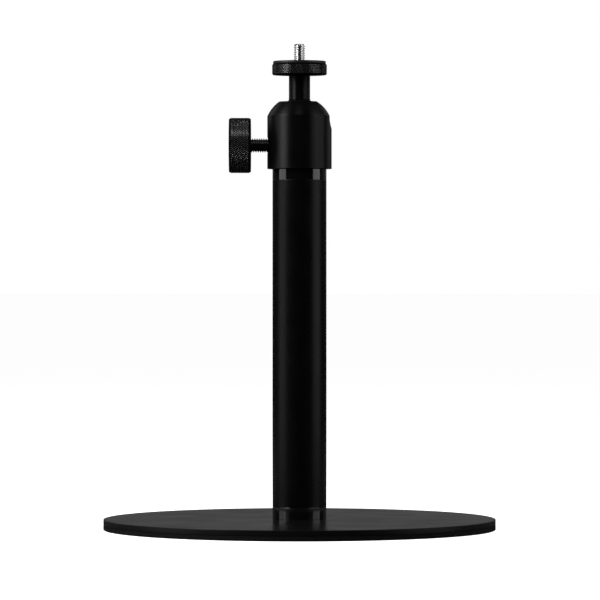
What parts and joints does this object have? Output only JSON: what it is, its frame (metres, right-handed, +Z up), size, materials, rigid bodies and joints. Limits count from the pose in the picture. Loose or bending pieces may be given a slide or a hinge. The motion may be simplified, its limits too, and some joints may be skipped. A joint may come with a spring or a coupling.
{
  "type": "desk stand with ball head",
  "caption": "Round-based desk stand with a column and a clamped ball head that carries a small camera or webcam on a standard screw.",
  "frame": {"origin": "on the column's axis at desk level, at the middle of the foot's underside", "axes": "+Z up along the column, +X towards the slot that the neck drops into, -X towards the clamp knob"},
  "size_m": [0.218, 0.218, 0.2696],
  "materials": {
    "foot_rubber": "matte black rubber sheet",
    "plate_paint": "semi-gloss black powder coat on steel",
    "column_satin_black": "satin black anodised tube",
    "collar_gloss_black": "gloss black, turned",
    "housing_black": "satin black anodised, turned",
    "knurled_black": "black anodised diamond knurl",
    "black_steel": "polished black steel",
    "bright_steel": "bright plated thread",
    "zinc_steel": "zinc plated steel",
    "seat_acetal": "black acetal",
    "tip_brass": "turned brass",
    "pad_rubber": "smooth black rubber"
  },
  "bodies": {
    "stand": {"base_pad": "foot_rubber", "base_plate": "plate_paint", "foot_bolt": "zinc_steel", "lower_collar": "collar_gloss_black", "column_tube": "column_satin_black", "upper_collar": "collar_gloss_black", "head_stud": "zinc_steel"},
    "head": {"head_housing": "housing_black", "head_base_plug": "housing_black"},
    "tip": {"clamp_tip": "tip_brass"},
    "clamp": {"clamp_screw": "black_steel", "clamp_knob": "knurled_black"},
    "seat": {"ball_seat": "seat_acetal"},
    "ball": {"ball": "black_steel"},
    "neck": {"neck": "black_steel"},
    "top": {"platform": "knurled_black", "platform_pad": "pad_rubber", "camera_screw": "bright_steel"}
  },
  "joints": [
    {"name": "head_turn", "type": "hinge", "parent": "stand", "child": "head", "pos_m": [0, 0, 0.2003], "axis": [0, 0, 1], "continuous": true},
    {"name": "clamp_travel", "type": "slide", "parent": "head", "child": "tip", "axis": [1, 0, 0], "range_m": [-0.00187, 0]},
    {"name": "clamp_turn", "type": "hinge", "parent": "tip", "child": "clamp", "pos_m": [-0.0332, 0, 0.21335], "axis": [1, 0, 0], "range_deg": [-540, 0]},
    {"name": "seat_drop", "type": "slide", "parent": "head", "child": "seat", "axis": [0, 0, 1], "range_m": [-0.0005, 0]},
    {"name": "ball_side_tilt", "type": "hinge", "parent": "head", "child": "ball", "pos_m": [0, 0, 0.2288], "axis": [1, 0, 0], "range_deg": [-15, 15]},
    {"name": "ball_tilt", "type": "hinge", "parent": "ball", "child": "neck", "pos_m": [0, 0, 0.2288], "axis": [0, 1, 0], "range_deg": [-15, 90]},
    {"name": "ball_spin", "type": "hinge", "parent": "neck", "child": "top", "pos_m": [0, 0, 0.2288], "axis": [0, 0, 1], "continuous": true}
  ],
  "couplings": [
    {"joint": "clamp_travel", "follows": "clamp_turn", "m_per_rad": 0.00019894},
    {"joint": "seat_drop", "follows": "clamp_turn", "m_per_rad": 0.00005305}
  ]
}
